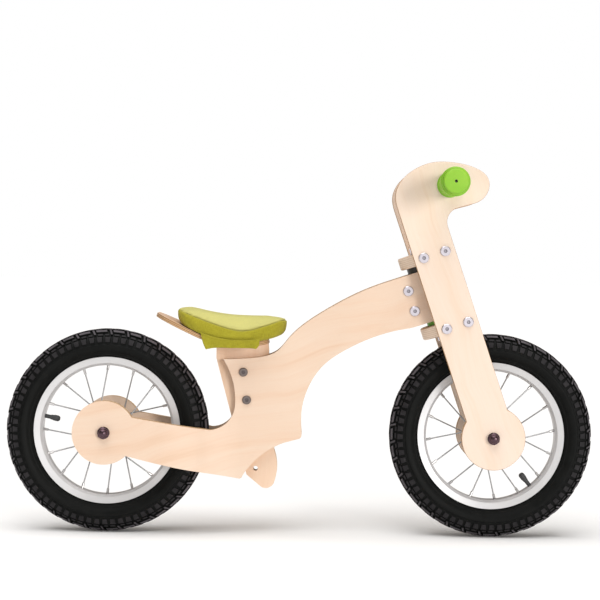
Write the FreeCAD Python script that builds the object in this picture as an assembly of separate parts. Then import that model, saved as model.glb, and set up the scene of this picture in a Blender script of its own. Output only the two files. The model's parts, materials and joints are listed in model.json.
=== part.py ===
import FreeCAD, Part
import math
import os

# Child's balance bike in plywood.  Millimetres.
# X runs forward, Y to the rider's left, Z up.  The origin is on the ground, midway between the axles.
Vec = FreeCAD.Vector
os.makedirs("parts", exist_ok=True)

# ---- overall sizes ----
wheelbase = 570.0
tyre_radius = 151.0
tyre_width = 48.0
rake_deg = 18.8                 # steering axis, from vertical
fork_offset = 20.0              # front axle ahead of the steering axis
seat_tilt_deg = 7.8             # seat post slide, from vertical

# ---- plywood ----
side_t = 12.0                   # frame and fork sides
boss_top_deg = 29.3             # where the chainstay leaves the rear boss, above the axle's level
boss_low_deg = -45.8
plate_t = 18.0                  # crown plates and seat post
hub_length = 82.0               # between the sides at both axles
edge_round = 1.2                # softened plywood edges
boss_radius = 46.6              # round ends of the sides at the axles

# ---- frame ----
seat_from_tyre = 50.6           # upper clamp bolt ahead of the rear tyre
seat_above_axle = 89.6
clamp_pitch = 41.4              # between the two clamp bolts
bend_length = 122.0             # S bend of each side, from wheel gap to seat post
bend_from_seat = 0.0            # the bend ends this far ahead of the upper clamp bolt
head_bend_length = 110.0        # gentler bend out to the head block
head_bend_from_block = 30.52     # that bend ends this far behind the head block
slide_gap = 0.2                 # seat post to each frame side
bend_rise = 0.25                # clamp bolt heads clear the last of the bend

# ---- steering head, measured along the steering axis ----
head_block_t = 30.0
head_length = 76.0
crown_to_tyre = 13.5            # tyre to the lower crown plate
lower_bush_t = 6.5
upper_bush_t = 8.5
lower_bush_radius = 18.0
upper_bush_radius = 22.0
head_front = 18.0               # ahead of the steering axis
head_rear = 46.0                # behind it
head_bolt_back = 30.7
head_bolt_pitch = 31.0
head_round = 8.0                # front corners of the head block
bush_depth = 22.0
bush_sleeve_radius = 8.0
turn_gap = 0.3                  # between faces that turn on each other

# ---- fork ----
fork_rear = 10.0                # rear edge behind the steering axis
fork_front = 52.0               # front edge ahead of it
crown_tail_radius = 30.5
throat_radius = 21.4            # hollow under the fork's beak
throat_turn_deg = 92.5
crown_tail_round = 2.5
crown_bolt_pitch = 33.0
crown_bolt_depth = 35.0
handlebar_above_crown = 81.158   # handlebar axis above the upper crown plate, along the steering axis
handlebar_ahead = 73.446        # and ahead of the steering axis
handlebar_length = 316.0
handlebar_radius = 11.1
handlebar_wall = 1.6
grip_radius = 21.0
grip_end_t = 5.0
grip_body_radius = 17.0
grip_lip = 1.8                  # inner flange above the ribs
grip_lip_t = 3.0
grip_rib_h = 1.3
grip_ribs = 15
grip_front_t = 17.0             # stepped dome, ahead of the last rib
grip_steps = [(grip_radius, 16.0, 11.0), (19.6, 10.2, 6.0), (17.8, 5.2, 1.4)]   # radius, from and to the end
grip_step_groove = 1.6
grip_face_radius = 16.6
grip_vent_radius = 2.2

# ---- seat ----
seat_travel = 75.0
board_t = 6.0
board_radius = 170.0            # underside of the dished board
board_low_ahead = -1.8          # lowest point of the dish, from the upper clamp bolt
board_low_above = 38.5
board_tail_deg = 24.6
board_tail = 131.1              # tail tip behind the upper clamp bolt
board_nose = 37.4
board_half_width = 52.0
cushion_half_width = 60.0
cushion_rear = 97.0
cushion_front = 64.0
rest_gap = 0.3                  # cushion to board
saddle_bolt_x = (-28.0, 18.0)   # from the upper clamp bolt
saddle_head_radius = 5.0
saddle_head_t = 1.8
socket_flats = 5.0              # hex sockets in the bolt heads
socket_depth = 1.9
barrel_radius = 5.0             # cross nuts of the saddle bolts, let in from the left
barrel_reach = 4.5              # past the post's middle

# ---- wheels ----
rim_radius = 109.0
bead_radius = 101.5
rim_inner_radius = 96.0
rim_wall = 2.0
rim_half_width = 14.0
spoke_count = 16
spoke_radius = 1.0
spoke_circle = 18.0
nipple_radius = 1.9
nipple_length = 11.0
nipple_seat = 4.2               # nipple head outside the rim's inner face
flange_radius = 21.5
flange_y = 20.0
flange_t = 2.2
hub_half = 26.0
hub_radius = 16.5
bearing_radius = 13.0
bearing_width = 8.0
race_split = 7.8
axle_radius = 5.0
tube_wall = 1.2
tube_gap = 3.0                  # inner tube to the tyre's crown and to its side walls
tube_depth = 8.0                # from the tread's top to the tube
tyre_wall = 3.0
valve_radius = 3.0
valve_cap_radius = 4.4
rear_spoke_deg = 90.0
front_spoke_deg = 50.3
rear_valve_gap = -4             # the valve stands midway in this gap, counted in spokes from the first
front_valve_gap = 4
valve_inside_rim = 23.0         # from the rim's inner face to the end of the cap
valve_cap_length = 14.0

# ---- fits and fasteners ----
run_fit = 0.05                  # radial clearance of turning fits
hole_fit = 0.15                 # radial clearance of bolts
stud_radius = 3.0
cap_radius = 7.5
cap_t = 2.8
clamp_cap_radius = 6.5
steering_radius = 5.0
lock_hole_radius = 3.5          # lowest hole of the seat post
washer_t = 1.2
axle_nut_t = 6.5
axle_nut_flats = 15.6
axle_cap_radius = 6.4           # domed end of the cap nuts
axle_cap_h = 4.4
steering_washer_t = 1.6
axle_nut_turn = 33.0            # one corner nearly at the top

# ---- reference points ----
axle_z = tyre_radius
rear_x = -wheelbase / 2
front_x = wheelbase / 2
rake = math.radians(rake_deg)
tilt = math.radians(seat_tilt_deg)
seat_x = rear_x + tyre_radius + seat_from_tyre
seat_z = axle_z + seat_above_axle
side_y = hub_length / 2
post_gap = plate_t / 2 + slide_gap
head_gap = head_block_t / 2
crown_low = tyre_radius + crown_to_tyre
head_low = crown_low + plate_t + lower_bush_t
head_high = head_low + head_length
crown_high = head_high + upper_bush_t
fork_mid = (fork_front - fork_rear) / 2
bar_level = crown_high + plate_t + handlebar_above_crown - tyre_radius + axle_z
tube_radius = min((tyre_radius - rim_radius) / 2 - tube_gap, tyre_width / 2 - tyre_wall - tube_gap)
tube_circle = tyre_radius - tube_depth - tube_radius
DOWN_POST = Vec(math.sin(tilt), 0, -math.cos(tilt))
AHEAD = Vec(math.cos(rake), 0, math.sin(rake))
ALONG = Vec(-math.sin(rake), 0, math.cos(rake))
SIDE = Vec(0, 1, 0)
UP = Vec(0, 0, 1)


def rear(dx, dz):
    return Vec(rear_x + dx, 0, axle_z + dz)


def seat(dx, dz, y=0.0):
    return Vec(seat_x + dx, y, seat_z + dz)


def head(v, t, y=0.0):
    """v ahead of the steering axis, t along it from the front axle's level."""
    return Vec(front_x, y, axle_z) + AHEAD * (v - fork_offset) + ALONG * t


def line(a, b):
    return Part.makeLine(a, b)


def arc(a, b, c):
    return Part.Arc(a, b, c).toShape()


def curve(points, start=None, end=None):
    spline = Part.BSplineCurve()
    if start is None:
        spline.interpolate(points)
    else:
        spline.interpolate(points, InitialTangent=start, FinalTangent=end)
    return spline.toShape()


def face(edges):
    return Part.Face(Part.Wire(edges))


def slab(edges, y0, y1):
    """Extrude an outline in the XZ plane from y0 to y1."""
    shape = face(edges)
    shape.translate(Vec(0, y0, 0))
    return shape.extrude(Vec(0, y1 - y0, 0))


def rod(start, axis, radius, length):
    return Part.makeCylinder(radius, length, start, axis)


def ring(start, axis, outer, inner, length):
    return rod(start, axis, outer, length).cut(rod(start, axis, inner, length))


def across(point, y0, y1, radius):
    """A cylinder along Y through a point of the XZ plane."""
    return rod(Vec(point.x, y0, point.z), SIDE, radius, y1 - y0)


def hexagon(start, axis, flats, length, turn=0.0):
    """A hexagonal prism."""
    side = FreeCAD.Rotation(Vec(0, 0, 1), axis)
    corner = flats / math.sqrt(3)
    ring_points = []
    for k in range(7):
        angle = math.radians(60 * k + turn)
        local = Vec(corner * math.cos(angle), corner * math.sin(angle), 0)
        ring_points.append(start + side.multVec(local))
    return Part.Face(Part.makePolygon(ring_points)).extrude(axis * length)


def turned(points, axis_point, axis):
    """Revolve a closed polygon of (radius, height) pairs about an axis."""
    side = FreeCAD.Rotation(Vec(0, 0, 1), axis)
    path = [axis_point + side.multVec(Vec(r, 0, h)) for r, h in points]
    return Part.Face(Part.makePolygon(path + path[:1])).revolve(axis_point, axis, 360)


def mirrored(shape):
    return shape.mirror(Vec(0, 0, 0), SIDE)


def soften(shape, radius, chosen):
    """Round the edges that the test picks."""
    return shape.makeFillet(radius, [edge for edge in shape.Edges if chosen(edge)])


def save(name, *shapes):
    solids = [solid for shape in shapes for solid in shape.Solids]
    whole = solids[0] if len(solids) == 1 else Part.makeCompound(solids)
    whole.exportStep("parts/" + name + ".step")


# ---- fasteners ----

def cap_head(point, out, radius, height):
    """A wide low head with a domed rim and a hex socket, its base on point."""
    dome = 0.9
    profile = [(0, 0), (radius, 0), (radius, height - dome), (radius - dome, height), (0, height)]
    socket = hexagon(point + out * (height - socket_depth), out, socket_flats, socket_depth + 1.0)
    return turned(profile, point, out).cut(socket)


def through_bolt(x, z, y_out, radius, cap):
    """Bolt from the right side and its sleeve nut from the left, through both sides."""
    right = Vec(x, -y_out, z)
    left = Vec(x, y_out, z)
    sleeve = 0.5 * y_out
    bolt = cap_head(right, -SIDE, cap, cap_t).fuse(rod(right, SIDE, radius, 2 * y_out - 3.0))
    nut = cap_head(left, SIDE, cap, cap_t)
    nut = nut.fuse(ring(left - SIDE * sleeve, SIDE, radius + 1.0, radius + run_fit, sleeve))
    nut = nut.cut(rod(left - SIDE * 3.1, SIDE, radius + run_fit, 3.1))
    return bolt, nut


# ---- bent frame sides ----

def s_bend(x0, y0, x1, y1, offset):
    """Two tangent arcs from (x0, y0) to (x1, y1), shifted sideways by offset."""
    dx = x1 - x0
    dy = y1 - y0
    radius = (dx * dx + dy * dy) / (4 * abs(dy))
    turn = 2 * math.atan2(abs(dy), dx)
    way = 1 if dy > 0 else -1

    def on_arc(cx, cy, r, angle, sign):
        return Vec(cx + r * math.sin(angle), cy - sign * r * math.cos(angle), 0)

    first = radius - way * offset
    second = radius + way * offset
    c0 = y0 + way * radius
    c1 = y1 - way * radius
    a = [on_arc(x0, c0, first, turn * k / 2, way) for k in range(3)]
    b = [on_arc(x1, c1, second, -turn * (2 - k) / 2, -way) for k in range(3)]
    return [arc(*a), arc(*b)], a[0], b[2]


def bent_slab():
    """Plan of the left side: wide at the wheel, close at the post, a little wider at the head."""
    half = side_t / 2
    wheel_y = side_y + half
    post_y = post_gap + half
    head_y = head_gap + half
    bend_end = seat_x + bend_from_seat
    bend_start = bend_end - bend_length
    out_end = head(-head_rear, head_high).x - head_bend_from_block
    out_start = out_end - head_bend_length
    tail = rear_x - boss_radius - 10
    nose = front_x
    sides = []
    for offset in (-half, half):
        first, a0, a1 = s_bend(bend_start, wheel_y, bend_end, post_y, offset)
        second, b0, b1 = s_bend(out_start, post_y, out_end, head_y, offset)
        start = Vec(tail, wheel_y + offset, 0)
        end = Vec(nose, head_y + offset, 0)
        sides.append((start, end, [line(start, a0)] + first + [line(a1, b0)] + second + [line(b1, end)]))
    ends = [line(sides[0][0], sides[1][0]), line(sides[0][1], sides[1][1])]
    edges = Part.sortEdges(sides[0][2] + sides[1][2] + ends)[0]
    return Part.Face(Part.Wire(edges)).extrude(UP * (axle_z + 500))


def bowed(a, b, pairs):
    """Points beside the line from a to b: each pair is a share of its length along it and off it."""
    way = b - a
    left = Vec(-way.z, 0, way.x)
    return [a + way * along + left * off for along, off in pairs]


def frame_outline():
    top = math.radians(boss_top_deg)
    low = math.radians(boss_low_deg)
    boss_top = rear(boss_radius * math.cos(top), boss_radius * math.sin(top))
    boss_low = rear(boss_radius * math.cos(low), boss_radius * math.sin(low))
    crook = seat(-47.6, -85.5)
    crook_mid = seat(-11.5, -48.1)
    corner = seat(-29.7, 19.1)
    head_top = head(-60.0, head_high)
    head_nose = head(head_front - 8, head_high)
    nose_top = head(head_front, head_high - 8)
    nose_low = head(head_front, head_low + 8)
    chin = head(head_front - 8, head_low)
    throat = head(-30.0, head_low)
    arch = seat(87.7, -50.6)
    foot = seat(87.4, -91.0)
    foot_low = seat(82.0, -98.0)
    heel = seat(62.0, -103.6)
    tip = seat(0.6, -153.6)
    tip_low = seat(-5.6, -157.3)
    nose_foot = seat(65.9, 50.4)
    under_nose = [corner, seat(0, 20.1), seat(30, 23.8), seat(50, 32.3), nose_foot]
    neck_bow = [(0.1339, 0.0333), (0.3863, 0.0519), (0.707, 0.0428)]
    saddle_line = under_nose + bowed(nose_foot, head_top, neck_bow) + [head_top]
    arch_bow = [(0.1313, -0.0541), (0.3297, -0.1221), (0.5123, -0.1544), (0.7181, -0.1536), (0.8384, -0.1136)]
    arch_line = [throat] + bowed(throat, arch, arch_bow) + [arch]
    return [
        arc(boss_top, rear(-boss_radius, 0), boss_low),
        arc(boss_low, seat(-66.6, -146.0), tip_low),
        arc(tip_low, seat(-1.6, -157.0), tip),
        arc(tip, seat(28.2, -122.3), heel),
        line(heel, foot_low),
        arc(foot_low, seat(86.3, -95.6), foot),
        arc(foot, seat(86.2, -72.0), arch),
        curve(list(reversed(arch_line)), Vec(0.16, 0, 1) * 40, AHEAD * 60),
        line(throat, chin),
        arc(chin, head(head_front - 2.34, head_low + 2.34), nose_low),
        line(nose_low, nose_top),
        arc(nose_top, head(head_front - 2.34, head_high - 2.34), head_nose),
        line(head_nose, head_top),
        curve(list(reversed(saddle_line)), AHEAD * -60, Vec(-1, 0, 0) * 40),
        arc(corner, seat(-15.3, -12.9), crook_mid),
        arc(crook_mid, seat(-25.0, -76.6), crook),
        line(crook, boss_top),
    ]


def clamp_points():
    upper = seat(0, 0)
    return upper, upper + DOWN_POST * clamp_pitch


def head_bolt_points():
    middle = (head_low + head_high) / 2
    return [head(-head_bolt_back, middle + k * head_bolt_pitch / 2) for k in (-1, 1)]


def on_flat_side(edge):
    """Edges of the outline, not the short ones through the thickness."""
    ends = [vertex.Point.y for vertex in edge.Vertexes]
    return len(ends) == 2 and abs(ends[0] - ends[1]) < 0.7 * side_t


def make_frame():
    left = slab(frame_outline(), 0, side_y + side_t + 1).common(bent_slab())
    left = left.Solids[0]
    for point in clamp_points():
        left = left.cut(across(point, 0, 100, stud_radius + 1.0 + hole_fit))
    for point in head_bolt_points():
        left = left.cut(across(point, 0, 100, stud_radius + 1.0 + hole_fit))
    left = left.cut(across(rear(0, 0), 0, 100, axle_radius + hole_fit))
    save("frame_side_left", left)
    save("frame_side_right", mirrored(left))


def make_head():
    low = head(0, head_low)
    box = [head(-head_rear, head_low), head(head_front, head_low),
           head(head_front, head_high), head(-head_rear, head_high)]
    half = head_block_t / 2
    block = slab([line(box[k], box[(k + 1) % 4]) for k in range(4)], -half, half)
    block = soften(block, head_round, lambda edge: edge.Length < head_block_t + 1
                   and abs(edge.Vertexes[0].Y - edge.Vertexes[1].Y) > 1
                   and (edge.CenterOfMass - head(head_front, 0)).dot(AHEAD) > -1)
    sleeve = bush_sleeve_radius
    block = block.cut(rod(low, ALONG, steering_radius + 0.6, head_length))
    for start in (low, head(0, head_high - bush_depth)):
        block = block.cut(rod(start, ALONG, sleeve + run_fit, bush_depth))
    for point in head_bolt_points():
        block = block.cut(across(point, -half, half, stud_radius + 1.0 + hole_fit))
    save("head_block", block)
    bolts = [through_bolt(p.x, p.z, head_gap + side_t, stud_radius, cap_radius) for p in head_bolt_points()]
    save("head_bolts", *[pair[0] for pair in bolts])
    save("head_sleeve_nuts", *[pair[1] for pair in bolts])
    bore = steering_radius + run_fit
    flange = upper_bush_t - turn_gap
    upper = turned([(bore, -bush_depth), (sleeve, -bush_depth), (sleeve, 0), (upper_bush_radius, 0),
                    (upper_bush_radius, flange), (bore, flange)], head(0, head_high), ALONG)
    save("upper_steering_bush", upper)
    flange = lower_bush_t - turn_gap
    lower = turned([(bore, -bush_depth), (sleeve, -bush_depth), (sleeve, 0), (lower_bush_radius, 0),
                    (lower_bush_radius, flange), (bore, flange)], low, -ALONG)
    save("lower_steering_bush", lower)


# ---- fork ----

def fork_outline():
    lift_rear = math.sqrt(boss_radius ** 2 - (fork_rear + fork_offset) ** 2)
    lift_front = math.sqrt(boss_radius ** 2 - (fork_front - fork_offset) ** 2)
    rear_low = head(-fork_rear, lift_rear)
    front_low = head(fork_front, lift_front)
    bar = handlebar_point()
    rear_high = head(-fork_rear, bar_level - 13.86)
    front_high = head(fork_front, bar_level - 57.06)

    def crest(dx, dz):
        return bar + Vec(dx, 0, dz)

    def throat(angle):
        centre = front_high + AHEAD * throat_radius
        return centre + (ALONG * math.sin(angle) - AHEAD * math.cos(angle)) * throat_radius

    turn = math.radians(throat_turn_deg)
    into_throat = AHEAD * -math.sin(turn) - ALONG * math.cos(turn)
    crown = [rear_high, rear_high + ALONG * 3, crest(-79.1, -16.0), crest(-68.0, 8.4), crest(-48.5, 23.8), crest(-25.5, 32.4),
             crest(9.5, 32.3), crest(38.5, 24.6), crest(56.1, 10.0), crest(56.8, -7.4), crest(42.0, -24.6),
             crest(28.2, -28.9), throat(turn) - into_throat * 4, throat(turn)]
    return [
        line(rear_low, rear_high),
        curve(crown),
        arc(throat(turn), throat(turn / 2), front_high),
        line(front_high, front_low),
        arc(front_low, head(fork_offset, -boss_radius), rear_low),
    ]


def crown_bolt_points():
    points = []
    for t in (crown_low + plate_t / 2, crown_high + plate_t / 2):
        for k in (-1, 1):
            points.append(head(fork_mid + k * crown_bolt_pitch / 2, t))
    return points


def handlebar_point():
    return head(handlebar_ahead, bar_level)


def make_fork():
    side = slab(fork_outline(), side_y, side_y + side_t)
    side = soften(side, edge_round, lambda edge: abs(edge.Vertexes[0].Y - edge.Vertexes[-1].Y) < 0.1)
    side = side.cut(across(head(fork_offset, 0), 0, 100, axle_radius + hole_fit))
    side = side.cut(across(handlebar_point(), 0, 100, handlebar_radius + run_fit))
    for point in crown_bolt_points():
        side = side.cut(across(point, 0, 100, stud_radius + hole_fit))
    save("fork_side_left", side)
    save("fork_side_right", mirrored(side))


def crown_plate(t):
    box = [head(-fork_rear + 1, t), head(fork_front - 2, t),
           head(fork_front - 2, t + plate_t), head(-fork_rear + 1, t + plate_t)]
    plate = slab([line(box[k], box[(k + 1) % 4]) for k in range(4)], -side_y, side_y)
    tail = rod(head(0, t), ALONG, crown_tail_radius, plate_t)
    tail = soften(tail, crown_tail_round, lambda edge: isinstance(edge.Curve, Part.Circle))
    plate = plate.fuse(tail).removeSplitter()
    plate = plate.cut(rod(head(0, t), ALONG, steering_radius + hole_fit, plate_t))
    for point in crown_bolt_points():
        for y0, y1 in ((-side_y, crown_bolt_depth - side_y), (side_y - crown_bolt_depth, side_y)):
            plate = plate.cut(across(point, y0, y1, stud_radius + hole_fit))
    return plate


def make_crown():
    save("crown_plate_lower", crown_plate(crown_low))
    save("crown_plate_upper", crown_plate(crown_high))
    bolts = []
    for point in crown_bolt_points():
        right = Vec(point.x, -side_y - side_t, point.z)
        shank = rod(right, SIDE, stud_radius, side_t + crown_bolt_depth - 1)
        bolt = cap_head(right, -SIDE, cap_radius, cap_t).fuse(shank)
        bolts += [bolt, mirrored(bolt)]
    save("crown_bolts", *bolts)
    low = head(0, crown_low)
    high = head(0, crown_high + plate_t)
    length = (high - low).Length + 2 * steering_washer_t + 10
    bolt_end = low - ALONG * steering_washer_t
    shank = rod(bolt_end, ALONG, steering_radius, length)
    save("steering_bolt", shank.fuse(hexagon(bolt_end - ALONG * 6.4, ALONG, 16.0, 6.4)))
    washers = [ring(p, ALONG, 10.0, steering_radius + hole_fit, steering_washer_t)
               for p in (bolt_end, high)]
    save("steering_washers", *washers)
    nut_base = high + ALONG * steering_washer_t
    nut = hexagon(nut_base, ALONG, 16.0, 8.0).fuse(rod(nut_base, ALONG, 7.4, 9.6))
    save("steering_nut", nut.cut(rod(nut_base, ALONG, steering_radius + run_fit, 10)))


def grip():
    """Left grip: a ribbed rubber sleeve with a domed end and a small vent hole."""
    start = side_y + side_t + 0.4
    first_rib = start + grip_lip_t
    end = handlebar_length / 2 + grip_end_t
    bore = handlebar_radius + run_fit
    bar_end = handlebar_length / 2 + 0.1
    groove = grip_body_radius - grip_rib_h
    lip = grip_body_radius + grip_lip
    points = [(bore, start), (lip, start), (lip, first_rib)]
    front = end - grip_front_t
    pitch = (front - first_rib) / grip_ribs
    for k in range(grip_ribs):
        y = first_rib + k * pitch
        points += [(groove, y + 0.10 * pitch), (groove, y + 0.32 * pitch), (grip_body_radius, y + 0.45 * pitch),
                   (grip_body_radius, y + 0.95 * pitch)]
    for radius, back, ahead in grip_steps:
        points += [(radius - grip_step_groove, end - back - 0.8), (radius - grip_step_groove, end - back),
                   (radius - 0.8, end - back), (radius, end - back + 0.8), (radius, end - ahead - 1.0),
                   (radius - 0.8, end - ahead)]
    points += [(grip_face_radius, end - 0.4), (grip_face_radius - 0.8, end),
               (grip_vent_radius, end), (grip_vent_radius, bar_end), (bore, bar_end)]
    bar = handlebar_point()
    return turned(points, Vec(bar.x, 0, bar.z), SIDE)


def make_handlebar():
    bar = handlebar_point()
    half = handlebar_length / 2
    start = Vec(bar.x, -half, bar.z)
    save("handlebar", ring(start, SIDE, handlebar_radius, handlebar_radius - handlebar_wall, 2 * half))
    sleeve = grip()
    save("grip_left", sleeve)
    save("grip_right", mirrored(sleeve))


# ---- wheels ----

def on_wheel(centre, angle, radius, y):
    return centre + Vec(radius * math.cos(angle), y, radius * math.sin(angle))


def spoke_line(centre, index, start_deg):
    """Elbow and rim end of one spoke; the pattern crosses once and repeats every four spokes."""
    step = 360.0 / spoke_count
    rim_angle = math.radians(start_deg - index * step)
    side = -1 if index % 2 == 0 else 1
    lean = math.radians(45.0) if index % 4 in (0, 3) else math.radians(-45.0)
    outside = index % 4 in (0, 3)
    elbow_y = flange_y + 3.4 if outside else flange_y - 3.0
    hub_angle = rim_angle + lean
    elbow = on_wheel(centre, hub_angle, spoke_circle, side * elbow_y)
    rim_end = on_wheel(centre, rim_angle, rim_inner_radius + nipple_seat, 0)
    stub = on_wheel(centre, hub_angle, spoke_circle, side * (flange_y - 2.4 if outside else flange_y + 2.4))
    return elbow, rim_end, stub


def make_spoke(elbow, rim_end, stub):
    way = rim_end - elbow
    length = way.Length - 5.0
    leg = rod(elbow, way.normalize(), spoke_radius, length)
    neck = stub - elbow
    reach = neck.Length
    neck.normalize()
    shank = rod(elbow, neck, spoke_radius, reach)
    button = rod(stub, neck, 1.9, 1.0)
    return leg.fuse([shank, Part.makeSphere(spoke_radius, elbow), button]).removeSplitter()


def make_nipple(elbow, rim_end):
    way = (elbow - rim_end).normalize()
    barrel = rod(rim_end + way, way, nipple_radius, nipple_length)
    crown = rod(rim_end, way, nipple_radius + 0.6, 1.0)
    return barrel.fuse(crown).cut(rod(rim_end + way * 4.9, way, spoke_radius + run_fit, nipple_length))


def rim_section():
    w = rim_half_width
    t = rim_wall
    half = [(rim_inner_radius, 8.5), (bead_radius - 2.0, w - 1.5), (rim_radius - 1.6, w - 0.2),
            (rim_radius - 0.3, w), (rim_radius, w - 0.9), (rim_radius - 1.4, w - t),
            (bead_radius + 0.5, w - t - 0.8), (bead_radius, w - t - 4.5), (rim_inner_radius + t, 7.0)]
    return half + [(r, -y) for r, y in reversed(half)]


def tyre_half(clear):
    """Half section as (radius, y): outside from crown to bead, then inside back to the crown."""
    w = tyre_width / 2
    r = tyre_radius
    bead_y = rim_half_width - rim_wall - 0.8 - clear
    outside = [(r, 0), (r - 1.6, 0.34 * w), (r - 5.2, 0.68 * w), (r - 12, 0.92 * w), (r - 23, w),
               (rim_radius + 8.5, 0.87 * w), (rim_radius + 2.4, 0.66 * w)]
    bead = [(rim_radius, bead_y + 0.6), (bead_radius + 0.7, bead_y), (bead_radius + 0.7, bead_y - 3.4),
            (rim_radius - 1.5, bead_y - 3.2)]
    inside = [(rim_radius + 6, 0.68 * w), (r - 23, w - tyre_wall), (r - 13, 0.78 * w), (r - 7, 0.45 * w), (r - 5.5, 0)]
    return outside, bead, inside


def make_tyre(centre):
    outside, bead, inside = tyre_half(0.15)

    def place(pair, sign=1):
        return centre + Vec(0, sign * pair[1], pair[0])

    def spline(pairs):
        both = [place(p, -1) for p in reversed(pairs[1:])] + [place(p) for p in pairs]
        return curve(both)

    outer = spline(outside)
    inner = spline(list(reversed(inside)))
    edges = [outer, inner]
    for sign in (-1, 1):
        path = [outside[-1]] + bead + [inside[0]]
        points = [place(p, sign) for p in path]
        edges += [line(points[k], points[k + 1]) for k in range(len(points) - 1)]
    section = Part.Face(Part.Wire(Part.sortEdges(edges)[0]))
    return section.revolve(centre, SIDE, 360)


def make_wheel(name, x, start_deg, valve_gap):
    centre = Vec(x, 0, axle_z)
    lines = [spoke_line(centre, k, start_deg) for k in range(spoke_count)]
    save(name + "_spokes", *[make_spoke(*one) for one in lines])
    save(name + "_spoke_nipples", *[make_nipple(one[0], one[1]) for one in lines])

    rim = turned(rim_section(), centre, SIDE)
    for elbow, rim_end, stub in lines:
        rim = rim.cut(rod(rim_end, (elbow - rim_end).normalize(), nipple_radius + hole_fit, 9))
    valve_angle = math.radians(start_deg - (valve_gap + 0.5) * 360 / spoke_count)
    valve_out = Vec(math.cos(valve_angle), 0, math.sin(valve_angle))
    valve_hole = rod(centre + valve_out * (rim_inner_radius - 6), valve_out, valve_radius + hole_fit, 16)
    save(name + "_rim", rim.cut(valve_hole))

    tape_r = rim_inner_radius + nipple_seat + 1.2
    tape = ring(centre - SIDE * 6.8, SIDE, tape_r + 0.8, tape_r, 13.6)
    save(name + "_rim_tape", tape.cut(valve_hole))
    save(name + "_tyre", make_tyre(centre))

    outer = Part.makeTorus(tube_circle, tube_radius, centre, SIDE)
    save(name + "_inner_tube", outer.cut(Part.makeTorus(tube_circle, tube_radius - tube_wall, centre, SIDE)))
    cap_end = rim_inner_radius - valve_inside_rim
    stem_end = cap_end + 5.0
    stem_length = tube_circle - tube_radius - 1.0 - stem_end
    save(name + "_valve_stem", rod(centre + valve_out * stem_end, valve_out, valve_radius, stem_length))
    cap = turned([(0, 0), (valve_cap_radius - 2.6, 0.15), (valve_cap_radius - 1.3, 0.8),
                  (valve_cap_radius - 0.3, 2.2), (valve_cap_radius, 4.0), (valve_cap_radius, 8.5),
                  (valve_cap_radius - 0.7, 11.5), (valve_cap_radius - 0.8, valve_cap_length),
                  (valve_radius + run_fit, valve_cap_length), (valve_radius + run_fit, 5.0), (0, 5.0)],
                 centre + valve_out * cap_end, valve_out)
    save(name + "_valve_cap", cap)

    shell_profile = [(hub_radius, flange_y - flange_t / 2), (flange_radius, flange_y - flange_t / 2),
                     (flange_radius, flange_y + flange_t / 2), (hub_radius, flange_y + flange_t / 2),
                     (bearing_radius + 2.0, hub_half), (bearing_radius + run_fit, hub_half),
                     (bearing_radius + run_fit, hub_half - bearing_width), (11.0, hub_half - bearing_width)]
    waist = [(hub_radius - 2.5, flange_y - 6)]
    half = waist + shell_profile
    shell = turned(half + [(r, -y) for r, y in reversed(half)], centre, SIDE)
    for elbow, rim_end, stub in lines:
        low = min(elbow.y, stub.y)
        hole = rod(Vec(stub.x, low, stub.z), SIDE, spoke_radius + hole_fit, abs(elbow.y - stub.y))
        shell = shell.cut(hole)
    save(name + "_hub_shell", shell)
    races = []
    inner_races = []
    spacers = []
    for sign in (-1, 1):
        outside = centre + SIDE * (sign * hub_half)
        inward = SIDE * -sign
        races.append(ring(outside, inward, bearing_radius, race_split + run_fit + 0.03, bearing_width - 0.1))
        inner_races.append(ring(outside, inward, race_split, axle_radius + run_fit, bearing_width - 0.1))
        spacers.append(ring(outside, -inward, race_split, axle_radius + run_fit, side_y - hub_half))
    save(name + "_bearing_outer_rings", *races)
    save(name + "_bearing_inner_rings", *inner_races)
    save(name + "_axle_spacers", *spacers)


def make_axle(name, x):
    centre = Vec(x, 0, axle_z)
    face_y = side_y + side_t
    nut_t = axle_nut_t
    half = face_y + washer_t + nut_t + 0.5
    bar = rod(centre - SIDE * half, SIDE, axle_radius, 2 * half)
    save(name + "_axle", soften(bar, 0.8, lambda edge: edge.Closed))
    washers = []
    nuts = []
    for sign in (-1, 1):
        out = SIDE * sign
        face_point = centre + out * face_y
        washers.append(ring(face_point, out, 9.0, axle_radius + hole_fit, washer_t))
        base = face_point + out * washer_t
        prism = hexagon(base, out, axle_nut_flats, nut_t, axle_nut_turn)
        corner = axle_nut_flats / math.sqrt(3)
        cone = turned([(0, 0), (corner, 0), (corner, nut_t - 1.2), (corner - 1.9, nut_t), (0, nut_t)], base, out)
        cap = [(0, nut_t - 0.2)]
        for k in range(7):
            angle = math.radians(15 * k)
            cap.append((axle_cap_radius * math.cos(angle), nut_t + axle_cap_h * math.sin(angle)))
        cap.insert(1, (axle_cap_radius, nut_t - 0.2))
        nut = prism.common(cone).fuse(turned(cap, base, out))
        nuts.append(nut.cut(rod(base, out, axle_radius + run_fit, nut_t + 1.0)))
    save(name + "_axle_washers", *washers)
    save(name + "_axle_nuts", *nuts)


# ---- seat ----

def board_line(radius):
    """Dished arc and straight tail of one face of the board, from nose to tail tip."""
    centre = seat(board_low_ahead, board_low_above + board_radius)
    tail = math.radians(board_tail_deg)

    def at(angle):
        return centre + Vec(radius * math.sin(angle), 0, -radius * math.cos(angle))

    nose = math.asin((board_nose - board_low_ahead) / board_radius)
    start = at(nose)
    low = at((nose - tail) / 2)
    bend = at(-tail)
    run = (board_tail + board_low_ahead - board_radius * math.sin(tail)) / math.cos(tail)
    tip = bend + Vec(-math.cos(tail), 0, math.sin(tail)) * run
    return start, low, bend, tip


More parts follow.
